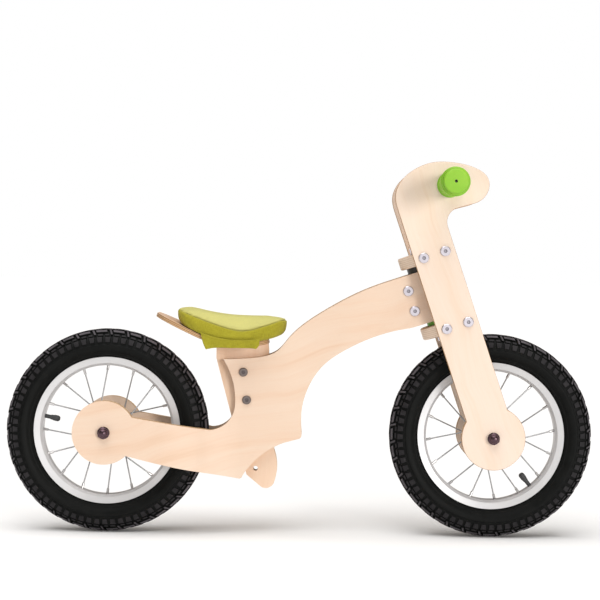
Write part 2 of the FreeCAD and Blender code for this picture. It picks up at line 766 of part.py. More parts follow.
def saddle_head_base(x):
    """Seat of a saddle bolt's head, sunk so that the head stays below the board's upper face."""
    reach = abs(x - board_low_ahead) - saddle_head_radius
    drop = math.sqrt((board_radius - board_t) ** 2 - max(reach, 0.0) ** 2)
    return seat(x, board_low_above + board_radius - drop - saddle_head_t - 0.2)


def plan(pairs, z0, z1):
    """Symmetric rounded plan from (x, half width) pairs, front to rear, as a tall prism."""
    pts = [Vec(seat_x + x, y, z0) for x, y in pairs]
    other = [Vec(p.x, -p.y, z0) for p in reversed(pts[1:-1])]
    loop = pts + other
    spline = Part.BSplineCurve()
    spline.interpolate(loop, PeriodicFlag=True)
    return Part.Face(Part.Wire([spline.toShape()])).extrude(UP * (z1 - z0))


def make_board():
    low = board_line(board_radius)
    top = board_line(board_radius - board_t)
    edges = [arc(*low[:3]), line(low[2], low[3]), line(low[3], top[3]), line(top[3], top[2]),
             arc(top[2], top[1], top[0]), line(top[0], low[0])]
    w = board_half_width
    board = slab(edges, -w - 10, w + 10)
    shape = plan([(board_nose + 1, 0), (board_nose - 6, 0.55 * w), (board_nose - 26, 0.84 * w), (0, 0.93 * w),
                  (-40, w), (-75, 0.97 * w), (-105, 0.82 * w), (-124, 0.5 * w), (-board_tail - 1, 0)],
                 seat_z, seat_z + 150)
    board = board.common(shape)
    for x in saddle_bolt_x:
        board = board.cut(rod(seat(x, 0), UP, stud_radius + hole_fit, 100))
        board = board.cut(rod(saddle_head_base(x), UP, saddle_head_radius + hole_fit, 100))
    save("saddle_board", board)


def make_post():
    low = board_line(board_radius + 0.1)
    centre = seat(board_low_ahead, board_low_above + board_radius)

    def under_board(x):
        reach = board_radius + 0.1
        return Vec(seat_x + x, 0, centre.z - math.sqrt(reach ** 2 - (x - board_low_ahead) ** 2))

    front_x_top = 36.3
    rear_x_top = -41.0
    rear_top = under_board(rear_x_top)
    front_top = under_board(front_x_top)
    shoulder = seat(rear_x_top + 0.1, 19.7)
    waist = seat(6.5, -153.0)
    bottom = seat(28.5, -170.9)
    side = seat(47.9, -162.6)
    neck = seat(46.9, -115.6)
    edges = [line(rear_top, shoulder), line(shoulder, waist), line(waist, bottom),
             arc(bottom, seat(38.0, -172.4), side), arc(side, seat(51.4, -146.0), neck),
             line(neck, front_top), arc(front_top, low[1], rear_top)]
    post = slab(edges, -plate_t / 2, plate_t / 2)
    upper, lower = clamp_points()
    slot_half = stud_radius + 1.0 + 0.4
    slot_low = lower + DOWN_POST * (seat_travel + 0.5)
    slot_top = upper - DOWN_POST * 0.5
    across_slot = Vec(math.cos(tilt), 0, math.sin(tilt)) * slot_half
    sides = [slot_top - across_slot, slot_top + across_slot, slot_low + across_slot, slot_low - across_slot]
    slot = slab([line(sides[k], sides[(k + 1) % 4]) for k in range(4)], -plate_t, plate_t)
    for end in (slot_top, slot_low):
        slot = slot.fuse(across(end, -plate_t, plate_t, slot_half))
    post = post.cut(slot)
    post = post.cut(across(upper + DOWN_POST * (3.5 * clamp_pitch), -plate_t, plate_t, lock_hole_radius))
    bolts = []
    nuts = []
    for x in saddle_bolt_x:
        bolt_low = seat(x, 14.0)
        nut_at = seat(x, 20.0)
        post = post.cut(rod(bolt_low, UP, stud_radius + hole_fit, 60))
        post = post.cut(across(nut_at, -barrel_reach - 0.3, plate_t, barrel_radius + hole_fit))
        head_base = saddle_head_base(x)
        bolt = rod(bolt_low, UP, stud_radius, (head_base - bolt_low).Length)
        bolts.append(bolt.fuse(rod(head_base, UP, saddle_head_radius, saddle_head_t)))
        nut = across(nut_at, -barrel_reach, plate_t / 2 - 0.5, barrel_radius)
        nuts.append(nut.cut(rod(bolt_low - UP * 2, UP, stud_radius + run_fit, 30)))
    save("seat_post", post)
    save("saddle_bolts", *bolts)
    save("saddle_barrel_nuts", *nuts)
    clamp_y = post_gap + side_t + bend_rise
    clamp = [through_bolt(p.x, p.z, clamp_y, stud_radius, clamp_cap_radius) for p in clamp_points()]
    save("seat_clamp_bolts", *[pair[0] for pair in clamp])
    save("seat_clamp_nuts", *[pair[1] for pair in clamp])


def make_cushion():
    start, low, bend, tip = board_line(board_radius - board_t - rest_gap)
    w = cushion_half_width
    tail_way = (tip - bend).normalize()
    rear_low = bend + tail_way * 20
    edges = [arc(start, low, bend), line(bend, rear_low),
             curve([rear_low, seat(-cushion_rear, 80), seat(-91, 96.0), seat(-60, 88.3), seat(-11, 80.8),
                    seat(30, 82.5), seat(52, 82.8), seat(cushion_front, 70.0), seat(56, 59.5), start])]
    cushion = slab(edges, -w - 5, w + 5)
    shape = plan([(cushion_front + 1, 0), (cushion_front - 7, 0.48 * w), (34, 0.79 * w), (0, 0.91 * w),
                  (-40, 0.99 * w), (-72, 0.97 * w), (-92, 0.72 * w), (-cushion_rear - 1, 0)],
                 seat_z, seat_z + 150)
    save("saddle_cushion", cushion.common(shape))


def make_flaps():
    """Cover flaps that hang past the board's sides, under the cushion."""
    w = board_half_width
    edges = [line(seat(-60, 52.4), seat(-53, 33.2)), line(seat(-53, 33.2), seat(-42, 36.6)),
             line(seat(-42, 36.6), seat(10, 38.6)), line(seat(10, 38.6), seat(21, 36.8)),
             line(seat(21, 36.8), seat(24, 46.0)), curve([seat(24, 46), seat(-13, 44.9), seat(-60, 52.4)])]
    flap = slab(edges, w + 0.8, w + 3.2)
    save("cover_flaps", flap, mirrored(flap))


make_frame()
make_head()
make_fork()
make_crown()
make_handlebar()
make_wheel("rear", rear_x, rear_spoke_deg, rear_valve_gap)
make_wheel("front", front_x, front_spoke_deg, front_valve_gap)
make_axle("rear", rear_x)
make_axle("front", front_x)
make_board()
make_post()
make_cushion()
make_flaps()
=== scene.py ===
import bpy
import bmesh
import json
import math
import numpy as np
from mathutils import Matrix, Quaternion, Vector


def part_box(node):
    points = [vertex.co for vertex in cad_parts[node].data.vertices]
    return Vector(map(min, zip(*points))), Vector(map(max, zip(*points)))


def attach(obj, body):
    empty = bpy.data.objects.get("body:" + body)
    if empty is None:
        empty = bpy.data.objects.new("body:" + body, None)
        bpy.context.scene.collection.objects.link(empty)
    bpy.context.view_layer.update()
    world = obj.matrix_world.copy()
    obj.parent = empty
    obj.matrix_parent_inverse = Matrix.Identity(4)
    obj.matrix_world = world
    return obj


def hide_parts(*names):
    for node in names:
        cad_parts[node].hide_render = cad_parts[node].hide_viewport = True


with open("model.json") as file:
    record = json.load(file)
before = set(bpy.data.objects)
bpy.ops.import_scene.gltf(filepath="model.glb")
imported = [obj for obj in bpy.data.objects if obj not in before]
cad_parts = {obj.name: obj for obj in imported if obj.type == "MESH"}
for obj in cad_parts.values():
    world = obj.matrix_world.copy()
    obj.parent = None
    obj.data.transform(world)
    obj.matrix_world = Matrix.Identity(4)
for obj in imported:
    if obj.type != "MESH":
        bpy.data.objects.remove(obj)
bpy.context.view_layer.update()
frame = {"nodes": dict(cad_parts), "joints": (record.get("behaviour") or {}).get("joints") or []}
nodes = frame["nodes"]


# ---------- places read from the frame ----------

def middle(node):
    low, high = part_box(node)
    return (low + high) / 2


REAR_AXLE = middle("rear_axle")
FRONT_AXLE = middle("front_axle")
TYRE_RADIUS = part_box("rear_tyre")[1].z - REAR_AXLE.z
JOINT = {joint["name"]: joint for joint in frame["joints"]}
STEER_AXIS = Vector(JOINT["steering"]["axis"]).normalized()
RAKE = math.atan2(-STEER_AXIS.x, STEER_AXIS.z)


# ---------- node helpers ----------

class Nodes:
    """Short calls for building one material's node tree."""

    def __init__(self, name):
        self.material = bpy.data.materials.new(name)
        self.material.use_nodes = True
        self.tree = self.material.node_tree
        self.tree.nodes.clear()
        self.out = self.tree.nodes.new("ShaderNodeOutputMaterial")
        self.shader = self.tree.nodes.new("ShaderNodeBsdfPrincipled")
        self.tree.links.new(self.shader.outputs[0], self.out.inputs[0])

    def put(self, socket, value):
        if isinstance(value, bpy.types.NodeSocket):
            self.tree.links.new(value, socket)
        elif value is not None:
            if isinstance(value, (tuple, list)) and len(value) == 3 and socket.type == "RGBA":
                value = (*value, 1.0)
            socket.default_value = value

    def set(self, **sockets):
        for name, value in sockets.items():
            self.put(self.shader.inputs[name.replace("_", " ")], value)

    def add(self, kind, *values, **props):
        node = self.tree.nodes.new(kind)
        for key, value in props.items():
            setattr(node, key, value)
        for socket, value in zip(node.inputs, values):
            self.put(socket, value)
        return node

    def math(self, operation, a, b=None, c=None, clamp=False):
        return self.add("ShaderNodeMath", a, b, c, operation=operation, use_clamp=clamp).outputs[0]

    def coords(self, output="Object"):
        return self.add("ShaderNodeTexCoord").outputs[output]

    def split(self, vector):
        return self.add("ShaderNodeSeparateXYZ", vector).outputs

    def join(self, x, y, z):
        return self.add("ShaderNodeCombineXYZ", x, y, z).outputs[0]

    def noise(self, vector, scale, detail=2.0, rough=0.5, distort=0.0):
        node = self.add("ShaderNodeTexNoise")
        self.put(node.inputs["Vector"], vector)
        self.put(node.inputs["Scale"], scale)
        self.put(node.inputs["Detail"], detail)
        self.put(node.inputs["Roughness"], rough)
        self.put(node.inputs["Distortion"], distort)
        return node.outputs[0]

    def ramp(self, value, stops):
        node = self.add("ShaderNodeValToRGB", value)
        while len(node.color_ramp.elements) < len(stops):
            node.color_ramp.elements.new(0.5)
        for element, (position, colour) in zip(node.color_ramp.elements, stops):
            element.position = position
            element.color = (*colour, 1.0) if len(colour) == 3 else colour
        return node.outputs[0]

    def fit(self, value, low, high, to_low=0.0, to_high=1.0, smooth=False):
        node = self.add("ShaderNodeMapRange", value, low, high, to_low, to_high)
        node.interpolation_type = "SMOOTHSTEP" if smooth else "LINEAR"
        return node.outputs[0]

    def mix(self, factor, a, b, blend="MIX"):
        node = self.tree.nodes.new("ShaderNodeMix")
        node.data_type = "RGBA"
        node.blend_type = blend
        self.put(node.inputs[0], factor)
        self.put(node.inputs[6], a)
        self.put(node.inputs[7], b)
        return node.outputs[2]

    def bump(self, height, distance, strength=1.0):
        node = self.add("ShaderNodeBump")
        self.put(node.inputs["Height"], height)
        node.inputs["Distance"].default_value = distance
        node.inputs["Strength"].default_value = strength
        return node.outputs["Normal"]


def paint(material, *names):
    for name in names:
        slots = nodes[name].data.materials
        slots.clear()
        slots.append(material)


# ---------- plywood ----------

def thickness_y(kit, position):
    """Distance of a point from the bike's centre plane."""
    return kit.math("ABSOLUTE", kit.split(position)[1])


def thickness_steering(kit, position):
    """Distance along the steering axis."""
    dot = kit.add("ShaderNodeVectorMath", position, tuple(STEER_AXIS), operation="DOT_PRODUCT")
    return dot.outputs["Value"]


def plywood(name, pale, warm, grain_angle, thickness, layer, flat_axis=(0.0, 1.0, 0.0), seed=0.0,
            streak=0.5, edge_pale=(0.72, 0.51, 0.30), edge_dark=(0.44, 0.26, 0.12)):
    """Birch plywood: veneer grain on the faces, stacked plies on the edges."""
    kit = Nodes(name)
    position = kit.coords()
    x, y, z = kit.split(position)
    along = kit.math("ADD", kit.math("MULTIPLY", x, math.cos(grain_angle)),
                     kit.math("MULTIPLY", z, math.sin(grain_angle)))
    across = kit.math("SUBTRACT", kit.math("MULTIPLY", z, math.cos(grain_angle)),
                      kit.math("MULTIPLY", x, math.sin(grain_angle)))
    side = kit.math("MULTIPLY", kit.math("SIGN", y), 0.37 + seed)
    wave = kit.math("MULTIPLY", kit.noise(kit.join(kit.math("MULTIPLY", along, 3.0), side, 0.0), 2.0), 0.05)
    flow = kit.math("ADD", across, wave)
    broad = kit.noise(kit.join(kit.math("MULTIPLY", along, 1.6), kit.math("MULTIPLY", flow, 22.0), side),
                      2.2, 3.0, 0.55, 0.35)
    band = kit.noise(kit.join(kit.math("MULTIPLY", along, 5.0), kit.math("MULTIPLY", flow, 130.0), side),
                     2.0, 3.0, 0.6)
    fibre = kit.noise(kit.join(kit.math("MULTIPLY", along, 28.0), kit.math("MULTIPLY", flow, 1500.0), side),
                      1.0, 2.0, 0.7)
    tone = kit.math("ADD", kit.math("MULTIPLY", broad, 0.75), kit.math("MULTIPLY", band, 0.25))
    deep = tuple(c * d for c, d in zip(warm, (0.90, 0.80, 0.68)))
    face = kit.ramp(tone, [(0.38, pale), (0.52, tuple((a + b) / 2 for a, b in zip(pale, warm))),
                           (0.60, warm), (0.74, deep)])
    face = kit.mix(streak, pale, face)
    face = kit.mix(kit.fit(fibre, 0.45, 0.75, 0.0, 0.16), face, deep)
    pore = kit.noise(kit.join(kit.math("MULTIPLY", along, 90.0), kit.math("MULTIPLY", flow, 2600.0), side),
                     1.0, 1.0, 0.5)
    face = kit.mix(kit.fit(pore, 0.70, 0.80, 0.0, 0.30), face, tuple(c * 0.62 for c in deep))

    depth = thickness(kit, position)
    ply = kit.math("DIVIDE", depth, layer)
    stripe = kit.math("FLOORED_MODULO", ply, 2.0)
    odd = kit.math("GREATER_THAN", stripe, 1.0)
    glue_at = kit.math("ABSOLUTE", kit.math("SUBTRACT", kit.math("FRACT", ply), 0.5))
    glue = kit.fit(glue_at, 0.42, 0.49, 0.0, 1.0, True)
    end_grain = kit.noise(kit.join(kit.math("MULTIPLY", x, 900.0), kit.math("MULTIPLY", ply, 3.0),
                                   kit.math("MULTIPLY", z, 900.0)), 1.0, 2.0, 0.7)
    light_ply = kit.mix(kit.fit(end_grain, 0.3, 0.7), tuple(c * 0.86 for c in edge_pale), edge_pale)
    dark_ply = kit.mix(kit.fit(end_grain, 0.3, 0.7), tuple(c * 0.86 for c in edge_dark), edge_dark)
    edge = kit.mix(odd, light_ply, dark_ply)
    edge = kit.mix(kit.math("MULTIPLY", glue, 0.30), edge, tuple(c * 0.5 for c in edge_dark))

    normal = kit.coords("Normal")
    facing = kit.add("ShaderNodeVectorMath", normal, flat_axis, operation="DOT_PRODUCT").outputs["Value"]
    flat = kit.fit(kit.math("ABSOLUTE", facing), 0.70, 0.82, 0.0, 1.0, True)
    colour = kit.mix(flat, edge, face)
    grain_height = kit.math("ADD", kit.math("MULTIPLY", fibre, 0.6), kit.math("MULTIPLY", pore, 0.4))
    edge_height = kit.math("ADD", kit.math("MULTIPLY", end_grain, 0.6), kit.math("MULTIPLY", glue, -0.5))
    height = kit.mix(flat, kit.join(edge_height, edge_height, edge_height),
                     kit.join(grain_height, grain_height, grain_height))
    rough = kit.fit(kit.math("MULTIPLY", flat, fibre), 0.0, 1.0, 0.62, 0.44)
    kit.set(Base_Color=colour, Roughness=rough, Normal=kit.bump(height, 0.00012, 0.5), Coat_Weight=0.10,
            Coat_Roughness=0.35)
    return kit.material


def bend_depth(kit, position):
    """Depth into a frame side, whose mid line steps twice between the wheel, the post and the head."""
    place = kit.split(position)
    x = place[0]
    y = place[1]

    def step(start, end):
        t = kit.fit(x, start, end)
        first = kit.math("MINIMUM", t, 0.5)
        last = kit.math("SUBTRACT", 1.0, kit.math("MAXIMUM", t, 0.5))
        rise = kit.math("SUBTRACT", kit.math("MULTIPLY", first, first), kit.math("MULTIPLY", last, last))
        return kit.math("ADD", kit.math("MULTIPLY", rise, 2.0), 0.5)

    seat_x = middle("seat_clamp_bolts").x - 0.003
    wheel_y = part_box("frame_side_left")[1].y
    post_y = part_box("seat_post")[1].y + 0.0122
    head_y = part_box("head_block")[1].y + 0.012
    inward = kit.math("MULTIPLY", step(seat_x - 0.122, seat_x), post_y - wheel_y)
    outward = kit.math("MULTIPLY", step(seat_x + 0.080, seat_x + 0.190), head_y - post_y)
    surface = kit.math("ADD", kit.math("ADD", inward, wheel_y), outward)
    return kit.math("ADD", kit.math("SUBTRACT", surface, kit.math("ABSOLUTE", y)), 0.1)


def board_depth(kit, position):
    """Depth through the dished saddle board: distance from the axis of its dish."""
    place = kit.split(position)
    x = place[0]
    z = place[2]
    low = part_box("saddle_board")[0]
    lowest_x = middle("seat_clamp_bolts").x - 0.0047
    dx = kit.math("SUBTRACT", x, lowest_x)
    dz = kit.math("SUBTRACT", z, low.z + 0.170)
    reach = kit.math("SQRT", kit.math("ADD", kit.math("MULTIPLY", dx, dx), kit.math("MULTIPLY", dz, dz)))
    tilt = math.radians(24.6)
    tail = kit.math("SUBTRACT", kit.math("MULTIPLY", dz, -math.cos(tilt)),
                    kit.math("MULTIPLY", dx, math.sin(tilt)))
    is_tail = kit.math("LESS_THAN", dx, -0.170 * math.sin(tilt))
    both = kit.mix(is_tail, kit.join(reach, 0, 0), kit.join(tail, 0, 0))
    return kit.split(both)[0]


# ---------- other materials ----------

def metal(name, colour, rough, socket_shade=0.0):
    """Metal with fine grain; painted shade from an ambient occlusion node darkens sockets and the joint round
    each head.
    """
    kit = Nodes(name)
    position = kit.coords()
    grain = kit.noise(position, 900.0, 3.0, 0.6)
    patch = kit.noise(position, 60.0, 3.0, 0.5)
    tint = kit.mix(kit.fit(patch, 0.3, 0.7, 0.0, 0.35), colour, tuple(c * 0.72 for c in colour))
    if socket_shade:
        # Painted shade: the colour darkens towards near black where nearby surfaces hide the light, in sockets
        # and round heads.
        hollow = kit.add("ShaderNodeAmbientOcclusion", None, 0.0035, samples=8)
        tint = kit.mix(kit.fit(hollow.outputs["AO"], 0.45, 0.90, socket_shade, 0.0), tint, (0.06, 0.05, 0.06))
    uneven = kit.math("ADD", kit.math("MULTIPLY", grain, 0.5), kit.math("MULTIPLY", patch, 0.5))
    kit.set(Base_Color=tint, Metallic=1.0,
            Roughness=kit.fit(uneven, 0.3, 0.7, rough * 0.8, min(1.0, rough * 1.3)),
            Normal=kit.bump(grain, 0.00004, 0.3))
    return kit.material


def rim_metal():
    """Satin alloy rim: fine turning lines round the wheel."""
    kit = Nodes("rim_alloy")
    position = kit.coords()
    x, y, z = kit.split(position)
    lines = []
    for centre in (REAR_AXLE, FRONT_AXLE):
        dx = kit.math("SUBTRACT", x, centre.x)
        dz = kit.math("SUBTRACT", z, centre.z)
        squares = kit.math("ADD", kit.math("MULTIPLY", dx, dx), kit.math("MULTIPLY", dz, dz))
        lines.append(kit.math("SQRT", squares))
    radius = kit.math("MINIMUM", lines[0], lines[1])
    turning = kit.noise(kit.join(kit.math("MULTIPLY", radius, 4000.0), kit.math("MULTIPLY", y, 4000.0), 0.0),
                        1.0, 2.0, 0.6)
    patch = kit.noise(position, 24.0, 3.0, 0.5)
    colour = kit.mix(kit.fit(patch, 0.3, 0.7, 0.0, 0.5), (0.66, 0.66, 0.67), (0.60, 0.60, 0.61))
    kit.set(Base_Color=colour, Metallic=0.45, Roughness=kit.fit(turning, 0.3, 0.7, 0.36, 0.50),
            Normal=kit.bump(turning, 0.00003, 0.4))
    return kit.material


def plastic(name, colour, rough):
    kit = Nodes(name)
    position = kit.coords()
    speck = kit.noise(position, 2200.0, 2.0, 0.6)
    patch = kit.noise(position, 45.0, 2.0, 0.5)
    tint = kit.mix(kit.fit(patch, 0.35, 0.65, 0.0, 0.3), colour, tuple(c * 0.8 for c in colour))
    kit.set(Base_Color=tint, Roughness=kit.fit(patch, 0.3, 0.7, rough * 0.9, rough * 1.1),
            Normal=kit.bump(speck, 0.00005, 0.35))
    return kit.material


def grip_rubber():
    """Soft bright rubber with a faint bloom and moulding grain."""
    kit = Nodes("grip_rubber")
    position = kit.coords()
    speck = kit.noise(position, 1600.0, 3.0, 0.6)
    patch = kit.noise(position, 38.0, 3.0, 0.55)
    colour = kit.mix(kit.fit(patch, 0.32, 0.68), (0.215, 0.480, 0.014), (0.265, 0.530, 0.026))
    colour = kit.mix(kit.fit(speck, 0.55, 0.75, 0.0, 0.14), colour, (0.46, 0.66, 0.18))
    kit.set(Base_Color=colour, Roughness=0.52, Normal=kit.bump(speck, 0.00006, 0.4),
            Sheen_Weight=0.12, Sheen_Roughness=0.45, Sheen_Tint=(0.70, 0.95, 0.30),
            Subsurface_Weight=0.06, Subsurface_Scale=0.004)
    return kit.material


def tyre_rubber():
    """Black tyre rubber with a random dusty tone; the tread block tops are painted greyer than the grooves,
    partly as wear and partly as a painted highlight of the top light.
    """
    kit = Nodes("tread_rubber")
    position = kit.coords()
    dust = kit.noise(position, 55.0, 4.0, 0.6)
    fine = kit.noise(position, 1400.0, 3.0, 0.65)
    wear_and_highlight = kit.add("ShaderNodeAttribute", attribute_name="wear_and_highlight").outputs["Fac"]
    colour = kit.mix(kit.fit(dust, 0.35, 0.70), (0.0028, 0.0032, 0.0030), (0.0060, 0.0064, 0.0060))
    # Block tops: grey that is partly wear and partly a painted highlight where the top light catches the tread.
    worn_and_lit = kit.mix(kit.fit(dust, 0.35, 0.65), (0.064, 0.058, 0.064), (0.112, 0.102, 0.112))
    colour = kit.mix(wear_and_highlight, colour, worn_and_lit)
    colour = kit.mix(kit.fit(fine, 0.62, 0.80, 0.0, 0.16), colour, (0.040, 0.040, 0.038))
    kit.set(Base_Color=colour, Roughness=kit.fit(dust, 0.3, 0.7, 0.50, 0.66),
            Normal=kit.bump(fine, 0.00008, 0.35), Specular_IOR_Level=0.11)
    return kit.material


# ---------- stage, light, camera ----------

def make_stage():
    mesh = bpy.data.meshes.new("floor")
    size = 30.0
    corners = [(-size, -size, 0), (size, -size, 0), (size, size, 0), (-size, size, 0)]
    mesh.from_pydata(corners, [], [(0, 1, 2, 3)])
    floor = bpy.data.objects.new("floor", mesh)
    bpy.context.collection.objects.link(floor)
    kit = Nodes("floor_pale")
    kit.set(Base_Color=(0.94, 0.94, 0.94), Roughness=0.9, Specular_IOR_Level=0.1)
    mesh.materials.append(kit.material)

    world = bpy.data.worlds.new("studio")
    world.use_nodes = True
    tree = world.node_tree
    background = tree.nodes["Background"]
    path = tree.nodes.new("ShaderNodeLightPath")
    tint = tree.nodes.new("ShaderNodeMix")
    tint.data_type = "RGBA"
    tint.inputs[6].default_value = (1.0, 0.94, 0.88, 1.0)
    tint.inputs[7].default_value = (1.0, 1.0, 1.0, 1.0)
    tree.links.new(path.outputs["Is Camera Ray"], tint.inputs[0])
    tree.links.new(tint.outputs[2], background.inputs["Color"])
    strength = tree.nodes.new("ShaderNodeMapRange")
    strength.inputs["To Min"].default_value = 0.30
    strength.inputs["To Max"].default_value = 1.0
    tree.links.new(path.outputs["Is Camera Ray"], strength.inputs["Value"])
    tree.links.new(strength.outputs[0], background.inputs["Strength"])
    bpy.context.scene.world = world
    bpy.context.scene.view_settings.view_transform = "Standard"


def add_sun(name, toward, spread_deg, strength, colour=(1.0, 1.0, 1.0)):
    """A large soft studio light, far away; toward points from the bike to the light."""
    data = bpy.data.lights.new(name, "SUN")
    data.angle = math.radians(spread_deg)
    data.energy = strength
    data.color = colour
    light = bpy.data.objects.new(name, data)
    bpy.context.collection.objects.link(light)
    light.rotation_euler = (-Vector(toward)).to_track_quat("-Z", "Y").to_euler()


def make_lights():
    add_sun("key_light", (0.50, -0.85, 0.12), 18.0, 1.50, (1.0, 0.985, 0.965))
    add_sun("top_light", (-0.10, -0.26, 0.96), 58.0, 2.65)


def make_camera():
    data = bpy.data.cameras.new("camera")
    data.lens = 97.4
    data.sensor_width = 36.0
    data.shift_x = -0.025
    data.shift_y = -0.0633
    data.clip_end = 100.0
    camera = bpy.data.objects.new("camera", data)
    bpy.context.collection.objects.link(camera)
    camera.location = (0.0202, -2.424, 0.4052)
    roll = math.radians(0.864)
    turn = Vector((0, 1, 0)).to_track_quat("-Z", "Z")
    camera.rotation_euler = (turn @ Quaternion((0, 0, 1), roll)).to_euler()
    bpy.context.scene.camera = camera


# ---------- mesh helpers ----------

def make_object(name, points, faces):
    mesh = bpy.data.meshes.new(name)
    mesh.from_pydata([tuple(p) for p in points], [], faces)
    work = bmesh.new()
    work.from_mesh(mesh)
    bmesh.ops.recalc_face_normals(work, faces=work.faces)
    work.to_mesh(mesh)
    work.free()
    obj = bpy.data.objects.new(name, mesh)
    bpy.context.collection.objects.link(obj)
    return obj


def smooth(obj, angle=None):
    obj.data.shade_smooth()
    if angle is not None:
        obj.data.set_sharp_from_angle(angle=math.radians(angle))


def through(points, per_span, closed=False):
    """Catmull-Rom curve through the points."""
    pts = [np.array(p, float) for p in points]
    count = len(pts)
    out = []
    for k in range(count if closed else count - 1):
        if closed:
            p0, p1, p2, p3 = (pts[(k + j) % count] for j in (-1, 0, 1, 2))
        else:
            p0, p1, p2, p3 = (pts[min(max(k + j, 0), count - 1)] for j in (-1, 0, 1, 2))
        for i in range(per_span):
            t = i / per_span
            out.append(0.5 * (2 * p1 + (p2 - p0) * t + (2 * p0 - 5 * p1 + 4 * p2 - p3) * t * t
                              + (3 * p1 - p0 - 3 * p2 + p3) * t ** 3))
    if not closed:
        out.append(pts[-1])
    return np.array(out)


def apply_modifiers(obj):
    """Bake the object's modifiers into its mesh."""
    graph = bpy.context.evaluated_depsgraph_get()
    result = bpy.data.meshes.new_from_object(obj.evaluated_get(graph))
    obj.modifiers.clear()
    obj.data = result


# ---------- tyres ----------

TREAD_REPEATS = 36
TREAD_HEIGHT = 0.0032
LUG_HEIGHT = 0.0019
TREAD_RADIUS = TYRE_RADIUS - TREAD_HEIGHT

# Carcass half section as (distance in from the tyre's radius, distance out from its middle), crown to bead.
CARCASS = [(0.0033, 0.0), (0.0042, 0.0055), (0.0064, 0.0106), (0.0099, 0.0154), (0.0144, 0.0193),
           (0.0196, 0.0217), (0.0228, 0.0222), (0.0236, 0.0231), (0.0244, 0.0236), (0.0275, 0.0235),
           (0.0320, 0.0221), (0.0362, 0.0190), (0.0374, 0.0187), (0.0384, 0.0176), (0.0400, 0.0150),
           (0.0416, 0.0128), (0.0426, 0.0115)]
CARCASS_INSIDE = [(0.0485, 0.0110), (0.0485, 0.0085), (0.0400, 0.0130), (0.0250, 0.0205), (0.0130, 0.0170),
                  (0.0070, 0.0090), (0.0055, 0.0)]


def carcass_table():
    """Radius, side distance, arc length and outward normal along the carcass."""
    line = through([(TYRE_RADIUS - depth, side) for depth, side in CARCASS], 6)
    slope = np.gradient(line, axis=0)
    slope[0] = (0.0, 1.0)
    slope /= np.linalg.norm(slope, axis=1)[:, None]
    length = np.concatenate([[0.0], np.cumsum(np.linalg.norm(np.diff(line, axis=0), axis=1))])
    return line, length, np.column_stack([slope[:, 1], -slope[:, 0]])


LINE, LENGTH, OUTWARD = carcass_table()


def on_tyre(turn, across, height):
    """A point of the tread: turn about the axle, distance across the tread, height off the carcass."""
    reach = abs(across)
    side = math.copysign(1.0, across)
    radius = np.interp(reach, LENGTH, LINE[:, 0]) + height * np.interp(reach, LENGTH, OUTWARD[:, 0])
    out = np.interp(reach, LENGTH, LINE[:, 1]) + height * np.interp(reach, LENGTH, OUTWARD[:, 1])
    return Vector((radius * math.sin(turn), side * out, radius * math.cos(turn)))


def add_block(points, faces, tops, corners, height, cells=(5, 3), bevel=0.00045, root=-0.0008):
    """A moulded tread block over four (around, across) corners, with softened edges and drafted walls."""
    corners = [np.array(c) for c in corners]
    long_way = np.linalg.norm(corners[1] - corners[0])
    short_way = np.linalg.norm(corners[3] - corners[0])

    def place(a, b, h):
        spot = ((1 - a) * (1 - b) * corners[0] + a * (1 - b) * corners[1] + a * b * corners[2]
                + (1 - a) * b * corners[3])
        points.append(on_tyre(spot[0] / TREAD_RADIUS, spot[1], h))
        return len(points) - 1

    columns, rows = cells
    inset = (bevel / long_way, bevel / short_way)
    top = [[place(inset[0] + (1 - 2 * inset[0]) * i / columns, inset[1] + (1 - 2 * inset[1]) * j / rows, height)
            for j in range(rows + 1)] for i in range(columns + 1)]
    tops += [k for column in top for k in column]
    rim = ([(i, 0) for i in range(columns)] + [(columns, j) for j in range(rows)]
           + [(i, rows) for i in range(columns, 0, -1)] + [(0, j) for j in range(rows, 0, -1)])
    edge = [place(i / columns, j / rows, height - bevel) for i, j in rim]
    foot = [place(i / columns + (i / columns - 0.5) * 1.6 * inset[0],
                  j / rows + (j / rows - 0.5) * inset[1], root) for i, j in rim]
    for i in range(columns):
        for j in range(rows):
            faces.append((top[i][j], top[i + 1][j], top[i + 1][j + 1], top[i][j + 1]))
    for k in range(len(rim)):
        n = (k + 1) % len(rim)
        ik, jk = rim[k]
        i2, j2 = rim[n]
        faces.append((top[ik][jk], top[i2][j2], edge[n], edge[k]))
        faces.append((edge[k], edge[n], foot[n], foot[k]))
    faces.append(tuple(foot))


